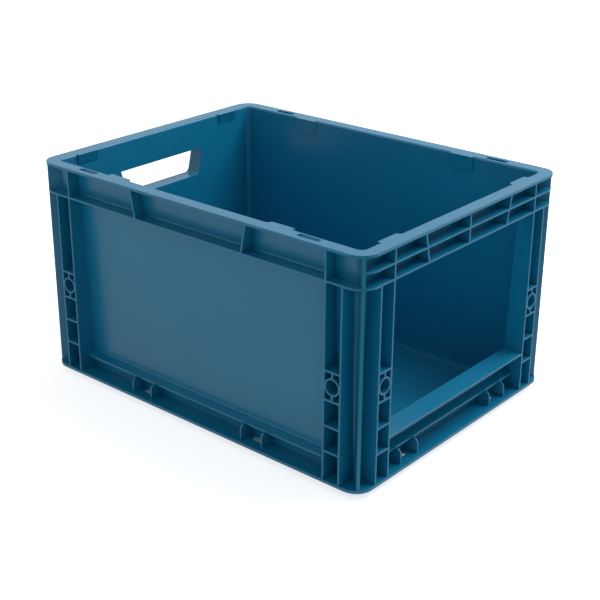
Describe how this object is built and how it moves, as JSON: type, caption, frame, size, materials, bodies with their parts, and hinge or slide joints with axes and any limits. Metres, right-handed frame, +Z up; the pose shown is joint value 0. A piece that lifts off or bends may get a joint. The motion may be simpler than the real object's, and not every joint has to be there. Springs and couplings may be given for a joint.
{
  "type": "stackable storage bin",
  "caption": "Rectangular stackable storage bin with ribbed walls, an open picking front above a low sill, a rear hand grip and a flat stacking rim.",
  "frame": {"origin": "centre of the footprint, on the surface the bin stands on", "axes": "+Z up; +Y along the 400 mm length, from the open picking front towards the wall with the hand grip; +X across the 300 mm width"},
  "size_m": [0.3, 0.4, 0.225],
  "materials": {
    "moulded_polypropylene": "injection-moulded polypropylene, blue, semi-gloss"
  },
  "bodies": {
    "root": {"bottom_flange": "moulded_polypropylene", "column_front_left": "moulded_polypropylene", "column_front_right": "moulded_polypropylene", "column_left_front": "moulded_polypropylene", "column_left_rear": "moulded_polypropylene", "column_rear_left": "moulded_polypropylene", "column_rear_right": "moulded_polypropylene", "column_right_front": "moulded_polypropylene", "column_right_rear": "moulded_polypropylene", "corner_rib_front_left": "moulded_polypropylene", "corner_rib_front_right": "moulded_polypropylene", "corner_rib_rear_left": "moulded_polypropylene", "corner_rib_rear_right": "moulded_polypropylene", "floor_panel": "moulded_polypropylene", "front_beam": "moulded_polypropylene", "front_jamb_left": "moulded_polypropylene", "front_jamb_right": "moulded_polypropylene", "front_sill": "moulded_polypropylene", "hand_grip": "moulded_polypropylene", "left_side_wall": "moulded_polypropylene", "lower_band_front": "moulded_polypropylene", "lower_band_left": "moulded_polypropylene", "lower_band_rear": "moulded_polypropylene", "lower_band_right": "moulded_polypropylene", "pad_front_left": "moulded_polypropylene", "pad_front_right": "moulded_polypropylene", "pad_left_front": "moulded_polypropylene", "pad_left_rear": "moulded_polypropylene", "pad_rear_left": "moulded_polypropylene", "pad_rear_right": "moulded_polypropylene", "pad_right_front": "moulded_polypropylene", "pad_right_rear": "moulded_polypropylene", "rear_wall": "moulded_polypropylene", "right_side_wall": "moulded_polypropylene", "stacking_foot": "moulded_polypropylene", "top_rim": "moulded_polypropylene", "upper_band_left": "moulded_polypropylene", "upper_band_rear": "moulded_polypropylene", "upper_band_right": "moulded_polypropylene"}
  },
  "joints": []
}
